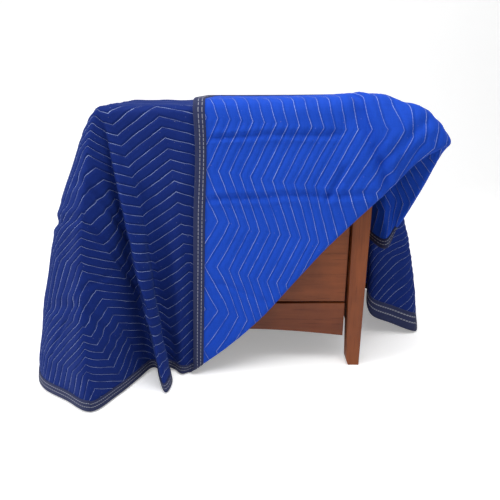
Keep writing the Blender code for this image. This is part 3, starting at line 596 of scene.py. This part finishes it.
# %% zigzag stitch group
def zigzag_group():
    """Distance of a place in the pattern to the nearest stitch row, from the triangle wave of s."""
    tree, here, out = new_group(
        "zigzag_rows",
        [("Pattern", VECTOR, None), ("Fold Side", FLOAT, 0.0), ("Thread", FLOAT, 0.0006)],
        [("Line", FLOAT), ("Groove", FLOAT), ("Row", FLOAT), ("Pucker", FLOAT)])
    cut = tree.nodes.new("ShaderNodeSeparateXYZ")
    tree.links.new(here.outputs["Pattern"], cut.inputs[0])
    wobble = math_node(tree, "MULTIPLY", math_node(
        tree, "SUBTRACT", noise_node(tree, here.outputs["Pattern"], 14.0, 2.0), 0.5), 0.006)
    s = math_node(tree, "ADD", cut.outputs["X"], SHIFT_FACE)
    shift = math_node(tree, "MULTIPLY", here.outputs["Fold Side"], SHIFT_FLAP - SHIFT_FACE)
    s = math_node(tree, "ADD", s, shift)
    wave = math_node(tree, "PINGPONG", s, HALF)
    rise = math_node(tree, "MULTIPLY", wave, RISE / HALF)
    rows = math_node(tree, "ADD", math_node(tree, "SUBTRACT", cut.outputs["Y"], rise), wobble)
    rows = math_node(tree, "DIVIDE", rows, PITCH)
    near = math_node(tree, "ABSOLUTE", math_node(
        tree, "SUBTRACT", math_node(tree, "FRACT", math_node(tree, "ADD", rows, 0.5)), 0.5))
    slope = math.cos(math.atan(RISE / HALF))
    gap = math_node(tree, "MULTIPLY", near, PITCH * slope)
    line = ramp(tree, gap, math_node(tree, "MULTIPLY", here.outputs["Thread"], 1.5), here.outputs["Thread"])
    dash = math_node(tree, "PINGPONG", cut.outputs["X"], 0.0024)
    dash = ramp(tree, dash, 0.0002, 0.0007)
    tree.links.new(math_node(tree, "MULTIPLY", line, math_node(
        tree, "ADD", 0.45, math_node(tree, "MULTIPLY", dash, 0.55))), out.inputs["Line"])
    groove = ramp(tree, gap, 0.0, 0.0060)
    tree.links.new(groove, out.inputs["Groove"])
    tree.links.new(math_node(tree, "FLOOR", math_node(tree, "ADD", rows, 0.5)), out.inputs["Row"])
    across = stretch(tree, here.outputs["Pattern"], (150.0, 34.0, 1.0))
    pucker = math_node(tree, "MULTIPLY", noise_node(tree, across, 1.0, 2.0),
                       math_node(tree, "SUBTRACT", 1.0, ramp(tree, gap, 0.002, 0.012)))
    tree.links.new(pucker, out.inputs["Pucker"])
    return tree


def weave_group():
    """Plain weave: the product of two sines across each other, with uneven threads."""
    tree, here, out = new_group(
        "plain_weave", [("Pattern", VECTOR, None), ("Threads", FLOAT, 900.0)],
        [("Height", FLOAT), ("Slub", FLOAT)])
    cut = tree.nodes.new("ShaderNodeSeparateXYZ")
    tree.links.new(here.outputs["Pattern"], cut.inputs[0])
    a = math_node(tree, "SINE", math_node(tree, "MULTIPLY", cut.outputs["X"],
                                          math_node(tree, "MULTIPLY", here.outputs["Threads"], math.pi)))
    b = math_node(tree, "SINE", math_node(tree, "MULTIPLY", cut.outputs["Y"],
                                          math_node(tree, "MULTIPLY", here.outputs["Threads"], math.pi)))
    tree.links.new(math_node(tree, "MULTIPLY_ADD", math_node(tree, "MULTIPLY", a, b), 0.5, 0.5),
                   out.inputs["Height"])
    long_s = noise_node(tree, stretch(tree, here.outputs["Pattern"], (30.0, 700.0, 1.0)), 1.0, 2.0)
    long_t = noise_node(tree, stretch(tree, here.outputs["Pattern"], (700.0, 30.0, 1.0)), 1.0, 2.0)
    tree.links.new(math_node(tree, "MULTIPLY", math_node(tree, "ADD", long_s, long_t), 0.5),
                   out.inputs["Slub"])
    return tree


def fading_group():
    """Broad fading and small dust specks, from noises of two sizes."""
    tree, here, out = new_group(
        "fading_and_dust", [("Place", VECTOR, None)], [("Fade", FLOAT), ("Dust", FLOAT)])
    tree.links.new(noise_node(tree, here.outputs["Place"], 3.2, 5.0, 0.6), out.inputs["Fade"])
    specks = noise_node(tree, here.outputs["Place"], 160.0, 2.0, 0.5)
    tree.links.new(ramp(tree, specks, 0.70, 0.78), out.inputs["Dust"])
    return tree


def grain_group():
    """Wood grain: noises drawn out along the board, with darker pores and slow bands."""
    tree, here, out = new_group(
        "wood_grain", [("Board", VECTOR, None)], [("Band", FLOAT), ("Pore", FLOAT), ("Height", FLOAT)])
    band = noise_node(tree, stretch(tree, here.outputs["Board"], (9.0, 9.0, 1.1)), 1.6, 5.0, 0.6)
    fine = noise_node(tree, stretch(tree, here.outputs["Board"], (260.0, 260.0, 9.0)), 1.0, 3.0, 0.6)
    tree.links.new(ramp(tree, band, 0.30, 0.72), out.inputs["Band"])
    tree.links.new(ramp(tree, fine, 0.56, 0.70), out.inputs["Pore"])
    height = math_node(tree, "ADD", math_node(tree, "MULTIPLY", fine, 0.7), band)
    tree.links.new(height, out.inputs["Height"])
    return tree


ZIGZAG = zigzag_group()
WEAVE = weave_group()
FADING = fading_group()
GRAIN = grain_group()
print("shader groups:", [g.name for g in bpy.data.node_groups])

# %% [markdown]
# ## The quilted cloth
# The face side is a deep navy blue and the reverse a brighter royal blue. One material shows both:
# the reverse is what the sheet shows from its back. Thin pale blue thread runs along each row, in a
# pressed groove with painted shade in it, and small puckers cross it. A soft sheen stands for the
# fine cotton nap.

# %% cloth material
FACE_BLUE = (0.003, 0.012, 0.105, 1.0)
FACE_LIGHT = (0.006, 0.025, 0.185, 1.0)
BACK_BLUE = (0.006, 0.050, 0.400, 1.0)
BACK_LIGHT = (0.011, 0.070, 0.520, 1.0)
THREAD = (0.40, 0.50, 0.82, 1.0)
DUST = (0.35, 0.37, 0.42, 1.0)
# A dark blue used as painted shade in the stitch grooves.
GROOVE_SHADE_BLUE = (0.004, 0.008, 0.05, 1.0)


def principled(name):
    mat = bpy.data.materials.new(name)
    mat.use_nodes = True
    return mat, mat.node_tree, mat.node_tree.nodes["Principled BSDF"]


def pattern_uv(tree):
    node = tree.nodes.new("ShaderNodeUVMap")
    node.uv_map = "pattern"
    return node.outputs["UV"]


def cloth_material():
    """Face and reverse blues by the side seen, with rows, painted shade in the grooves, weave, fading, dust
    and stitch puckers.
    """
    mat, tree, shader = principled("quilted_blue_cotton")
    uv = pattern_uv(tree)
    side = tree.nodes.new("ShaderNodeNewGeometry").outputs["Backfacing"]
    cut = tree.nodes.new("ShaderNodeSeparateXYZ")
    tree.links.new(uv, cut.inputs[0])
    along = math_node(tree, "MULTIPLY", math_node(tree, "SUBTRACT", cut.outputs["X"], FOLD_S), FOLD_SIDE[0])
    past = math_node(tree, "ADD", along, math_node(tree, "MULTIPLY", cut.outputs["Y"], FOLD_SIDE[1]))
    flap = math_node(tree, "GREATER_THAN", past, 0.0)
    rows = place_group(tree, ZIGZAG, Pattern=uv, Fold_Side=flap, Thread=0.00034)
    weave = place_group(tree, WEAVE, Pattern=uv, Threads=620.0)
    fade = place_group(tree, FADING, Place=uv)
    face = mix_colour(tree, fade.outputs["Fade"], FACE_BLUE, FACE_LIGHT)
    back = mix_colour(tree, fade.outputs["Fade"], BACK_BLUE, BACK_LIGHT)
    colour = mix_colour(tree, side, face, back)
    slub = math_node(tree, "MULTIPLY_ADD", weave.outputs["Slub"], 0.9, 0.55)
    tone = tree.nodes.new("ShaderNodeCombineXYZ")
    for k in range(3):
        tree.links.new(slub, tone.inputs[k])
    colour = mix_colour(tree, 0.45, colour, tone.outputs[0], "MULTIPLY")
    # Painted shade: along each stitch row the colour is darkened a little toward a dark blue, as shade in
    # the groove.
    groove_shade = math_node(tree, "SUBTRACT", 1.0, rows.outputs["Groove"])
    seen = math_node(tree, "MULTIPLY", rows.outputs["Line"], ramp(
        tree, noise_node(tree, uv, 22.0, 2.0), 0.15, 0.75))
    colour = mix_colour(tree, math_node(tree, "MULTIPLY", groove_shade, 0.12), colour, GROOVE_SHADE_BLUE)
    colour = mix_colour(tree, math_node(tree, "MULTIPLY", fade.outputs["Dust"], 0.25), colour, DUST)
    colour = mix_colour(tree, seen, colour, THREAD)
    tree.links.new(colour, shader.inputs["Base Color"])
    shader.inputs["Roughness"].default_value = 0.82
    shader.inputs["Sheen Weight"].default_value = 0.09
    shader.inputs["Sheen Roughness"].default_value = 0.45
    shader.inputs["Sheen Tint"].default_value = (0.20, 0.35, 0.85, 1.0)
    shader.inputs["Specular IOR Level"].default_value = 0.12
    soft = bump(tree, rows.outputs["Groove"], 0.0022, 0.9)
    puck = bump(tree, rows.outputs["Pucker"], 0.0020, 0.8, soft)
    fine = bump(tree, weave.outputs["Height"], 0.00025, 0.5, puck)
    nap = bump(tree, noise_node(tree, uv, 55.0, 4.0), 0.0030, 0.5, fine)
    tree.links.new(nap, shader.inputs["Normal"])
    return mat


cloth = cloth_material()
panel = make_mesh("quilted_panel", panel_places, grid_faces(GRID_S, GRID_T), panel_flat, cloth)
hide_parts("blanket")
print("panel triangles:", 2 * len(panel.data.polygons))

# %% [markdown]
# ## The binding
# A dark strip is folded over the edge and sewn down with two rows of pale grey thread. Its section is
# a flat loop, a little hollowed where the rows pull it in, carried along each edge and mitred at the
# corners by running from the depth itself to the far side less the depth.

# %% binding material
STRIP_BLUE = (0.011, 0.015, 0.052, 1.0)
STRIP_LIGHT = (0.024, 0.032, 0.095, 1.0)
STRIP_THREAD = (0.26, 0.27, 0.33, 1.0)
ROW_NEAR = 0.0125
ROW_FAR = 0.0215


def binding_material():
    """Grey-navy tape with two dashed stitch rows at set depths from the edge."""
    mat, tree, shader = principled("navy_binding_tape")
    uv = pattern_uv(tree)
    cut = tree.nodes.new("ShaderNodeSeparateXYZ")
    tree.links.new(uv, cut.inputs[0])
    weave = place_group(tree, WEAVE, Pattern=uv, Threads=900.0)
    fade = place_group(tree, FADING, Place=uv)
    colour = mix_colour(tree, fade.outputs["Fade"], STRIP_BLUE, STRIP_LIGHT)
    dash = ramp(tree, math_node(tree, "PINGPONG", cut.outputs["X"], 0.0052), 0.0010, 0.0018)
    lines = []
    for depth in (ROW_NEAR, ROW_FAR):
        gap = math_node(tree, "ABSOLUTE", math_node(tree, "SUBTRACT", cut.outputs["Y"], depth))
        lines.append(ramp(tree, gap, 0.0012, 0.0006))
    line = math_node(tree, "MULTIPLY", math_node(tree, "ADD", lines[0], lines[1], clamp=True), dash)
    colour = mix_colour(tree, math_node(tree, "MULTIPLY", weave.outputs["Slub"], 0.5), colour, STRIP_LIGHT)
    colour = mix_colour(tree, math_node(tree, "MULTIPLY", fade.outputs["Dust"], 0.3), colour, DUST)
    colour = mix_colour(tree, line, colour, STRIP_THREAD)
    tree.links.new(colour, shader.inputs["Base Color"])
    shader.inputs["Roughness"].default_value = 0.85
    shader.inputs["Sheen Weight"].default_value = 0.06
    shader.inputs["Specular IOR Level"].default_value = 0.25
    thread = bump(tree, line, 0.0008, 0.8)
    fine = bump(tree, weave.outputs["Height"], 0.0003, 0.6, thread)
    tree.links.new(bump(tree, noise_node(tree, uv, 90.0, 3.0), 0.0016, 0.5, fine), shader.inputs["Normal"])
    return mat


tape = binding_material()

# %% binding strips
TAPE_THICK = 0.0026
ALONG_STEP = 0.0065
# Section of the tape: depth from the edge, share of the half thickness
SECTION = ((0.0000, 0.00), (0.0006, 0.45), (0.0020, 0.85), (0.0050, 1.00), (0.0095, 1.05), (ROW_NEAR, 0.80),
           (0.0170, 1.05), (ROW_FAR, 0.80), (0.0255, 1.00), (0.0278, 0.90), (0.0284, 0.30))


def strip_points(a, b, inward):
    """Tape along one edge: f goes from corner a to corner b, u round the section. The place is the
    draped point at that depth, moved along the strip's own normal by the section's half thickness."""
    a = np.array(a, float)
    b = np.array(b, float)
    inward = np.array(inward, float)
    run = np.linalg.norm(b - a)
    way = (b - a) / run
    count = int(run / ALONG_STEP)
    f = np.linspace(0, 1, count)
    depths = np.array([d for d, _ in SECTION])
    share = np.array([h for _, h in SECTION])
    along = depths[None, :] + (run - 2 * depths[None, :]) * f[:, None]
    flat = a + along[..., None] * way + depths[None, :, None] * inward
    middle = drape(flat.reshape(-1, 2)).reshape(count, len(depths), 3)
    across = middle[:, -1] - middle[:, 0]
    ahead = np.gradient(middle[:, 4], axis=0)
    n = np.cross(ahead, across)
    n /= np.maximum(np.linalg.norm(n, axis=1, keepdims=True), 1e-12)
    n = (n + np.roll(n, 1, axis=0) + np.roll(n, -1, axis=0))
    n[0] = n[1]
    n[-1] = n[-2]
    n /= np.maximum(np.linalg.norm(n, axis=1, keepdims=True), 1e-12)
    upper = middle + n[:, None] * (share * TAPE_THICK)[None, :, None]
    lower = middle - n[:, None] * (share * TAPE_THICK)[None, :, None]
    ring = np.concatenate([upper, lower[:, :0:-1]], axis=1)
    uv_depth = np.concatenate([depths, depths[:0:-1]])
    uv_along = np.concatenate([along, along[:, :0:-1]], axis=1)
    uv = np.stack([uv_along, np.broadcast_to(uv_depth, uv_along.shape)], axis=-1)
    ring[..., 2] = np.maximum(ring[..., 2], FLOOR_Z * 0.3)
    return ring, uv


def make_strip(name, node, a, b, inward, flip):
    """Closed tape mesh for one edge, with its ends capped."""
    ring, uv = strip_points(a, b, inward)
    rows, columns = ring.shape[:2]
    faces = grid_faces(rows, columns, close_columns=True)
    if flip:
        faces = faces[:, ::-1]
    obj = make_mesh(name, ring.reshape(-1, 3), faces, uv.reshape(-1, 2), tape)
    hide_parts(node)
    print(name, "triangles:", 2 * len(faces))
    return obj


tapes = [
    make_strip("front_tape", "binding_front", (0, 0), (WIDTH, 0), (0, 1), False),
    make_strip("right_tape", "binding_right", (WIDTH, 0), (WIDTH, LENGTH), (-1, 0), False),
    make_strip("back_tape", "binding_back", (WIDTH, LENGTH), (0, LENGTH), (0, -1), False),
    make_strip("left_tape", "binding_left", (0, LENGTH), (0, 0), (1, 0), False),
]

# %% [markdown]
# ## The wood
# The table is stained reddish brown with a satin varnish. The grain runs up the legs, and from left
# to right in the other pieces, so there are two materials from one recipe. The Bevel node rounds the
# sharp arrises in the shading, where a real table is sanded.

# %% wood material
WOOD_DARK = (0.050, 0.010, 0.004, 1.0)
WOOD_MID = (0.155, 0.034, 0.007, 1.0)
WOOD_LIGHT = (0.300, 0.078, 0.018, 1.0)


def wood_material(name, turn):
    """Bands between three browns, darker pores, edges rounded in the shading by the bevelled normal, satin
    varnish.
    """
    mat, tree, shader = principled(name)
    place = tree.nodes.new("ShaderNodeTexCoord").outputs["Object"]
    board = tree.nodes.new("ShaderNodeMapping")
    tree.links.new(place, board.inputs["Vector"])
    board.inputs["Rotation"].default_value = turn
    grain = place_group(tree, GRAIN, Board=board.outputs["Vector"])
    fade = place_group(tree, FADING, Place=place)
    colour = mix_colour(tree, grain.outputs["Band"], WOOD_MID, WOOD_LIGHT)
    colour = mix_colour(tree, math_node(tree, "MULTIPLY", grain.outputs["Pore"], 0.45), colour, WOOD_DARK)
    stain = math_node(tree, "MULTIPLY", ramp(tree, fade.outputs["Fade"], 0.45, 0.7), 0.35)
    colour = mix_colour(tree, stain, colour, WOOD_DARK)
    soft = tree.nodes.new("ShaderNodeBevel")
    soft.samples = 4
    soft.inputs["Radius"].default_value = 0.003
    tree.links.new(colour, shader.inputs["Base Color"])
    rough = math_node(tree, "MULTIPLY_ADD", grain.outputs["Pore"], 0.2, 0.36)
    tree.links.new(rough, shader.inputs["Roughness"])
    shader.inputs["Coat Weight"].default_value = 0.05
    shader.inputs["Specular IOR Level"].default_value = 0.30
    shader.inputs["Coat Roughness"].default_value = 0.25
    tree.links.new(bump(tree, grain.outputs["Height"], 0.0004, 0.5, soft.outputs["Normal"]),
                   shader.inputs["Normal"])
    return mat


upright = wood_material("red_brown_wood_upright", (0.0, 0.0, 0.0))
lengthwise = wood_material("red_brown_wood_lengthwise", (0.0, math.radians(90), 0.0))
for name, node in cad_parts.items():
    if name.startswith("leg_"):
        node.data.materials[0] = upright
    elif name.startswith(("panel_", "rail_", "table_")):
        node.data.materials[0] = lengthwise
print("wooden pieces dressed")

# %% [markdown]
# ## Floor, light and camera
# A pale seamless floor that curves up behind and glows a little for the camera alone, a soft lamp on
# the front left, a wider one above, and an even white sky. The camera stands 1.24 m in front of the
# table, a little above it, and looks down.

# %% floor
BACKDROP = 0.96
GLOW = 0.30
FLOOR_ROWS = 60
FLOOR_FRONT = -4.0
FLOOR_BACK = 2.2
FLOOR_SIDE = 7.0
WALL_ROUND = 1.5
WALL_HIGH = 3.0


def floor_points():
    """Swept profile: flat to 2.2 m behind, then a quarter round of 1.5 m radius up to a wall."""
    u = np.linspace(0, 1, FLOOR_ROWS)
    bend = np.clip((u - 0.5) / 0.3, 0, 1) * math.pi / 2
    flat = FLOOR_FRONT + (FLOOR_BACK - FLOOR_FRONT) * u / 0.5
    y = np.where(u < 0.5, flat, FLOOR_BACK + WALL_ROUND * np.sin(bend))
    z = np.where(u < 0.5, 0.0, WALL_ROUND * (1 - np.cos(bend)))
    z = z + np.clip((u - 0.8) / 0.2, 0, 1) * WALL_HIGH
    x = np.array([-FLOOR_SIDE, FLOOR_SIDE])
    return np.stack(np.broadcast_arrays(x[None, :], y[:, None], z[:, None]), axis=-1).reshape(-1, 3)


floor_mat, floor_tree, floor_shader = principled("pale_floor")
floor_shader.inputs["Base Color"].default_value = (BACKDROP, BACKDROP, BACKDROP, 1.0)
floor_shader.inputs["Roughness"].default_value = 0.9
floor_shader.inputs["Emission Color"].default_value = (1.0, 1.0, 1.0, 1.0)
camera_ray = floor_tree.nodes.new("ShaderNodeLightPath").outputs[0]
glow = math_node(floor_tree, "MULTIPLY", camera_ray, GLOW)
put(floor_tree, glow, floor_shader.inputs["Emission Strength"])
floor_mesh = bpy.data.meshes.new("pale_floor")
floor_mesh.from_pydata(floor_points().tolist(), [], grid_faces(FLOOR_ROWS, 2)[:, ::-1].tolist())
floor_mesh.shade_smooth()
floor_mesh.materials.append(floor_mat)
floor = bpy.data.objects.new("pale_floor", floor_mesh)
bpy.context.scene.collection.objects.link(floor)

# %% lights
def area_light(name, place, aim, size, power):
    """Square lamp at a place, turned toward an aim point."""
    data = bpy.data.lights.new(name, "AREA")
    data.size = size
    data.energy = power
    lamp = bpy.data.objects.new(name, data)
    bpy.context.scene.collection.objects.link(lamp)
    lamp.location = place
    way = np.array(aim, float) - np.array(place, float)
    flat = math.hypot(way[0], way[1])
    lamp.rotation_euler = (math.atan2(flat, -way[2]), 0.0, math.atan2(way[1], way[0]) - math.pi / 2)
    return lamp


area_light("key_lamp", (-2.9, -1.5, 1.9), (-0.2, -0.3, 0.4), 1.2, 54.0)
area_light("top_lamp", (0.2, -0.9, 2.9), (0.0, 0.0, 0.6), 1.8, 62.0)
world = bpy.data.worlds.new("studio")
world.use_nodes = True
world.node_tree.nodes["Background"].inputs["Color"].default_value = (1.0, 1.0, 1.0, 1.0)
world.node_tree.nodes["Background"].inputs["Strength"].default_value = 0.46
bpy.context.scene.world = world
bpy.context.scene.view_settings.view_transform = "Standard"

# %% camera
IMAGE = 500
FOCAL_PX = 476.0
SENSOR = 36.0
CAMERA_BACK = 1.237
CAMERA_HIGH = 0.8047
CAMERA_DOWN = 19.34
camera_data = bpy.data.cameras.new("camera")
camera_data.sensor_width = SENSOR
camera_data.lens = FOCAL_PX / IMAGE * SENSOR
camera = bpy.data.objects.new("camera", camera_data)
bpy.context.scene.collection.objects.link(camera)
camera.location = (-CENTRE[0], -CAMERA_BACK - CENTRE[1], CAMERA_HIGH)
camera.rotation_euler = (math.radians(90 - CAMERA_DOWN), 0.0, 0.0)
bpy.context.scene.camera = camera
print("camera lens:", round(camera_data.lens, 2))
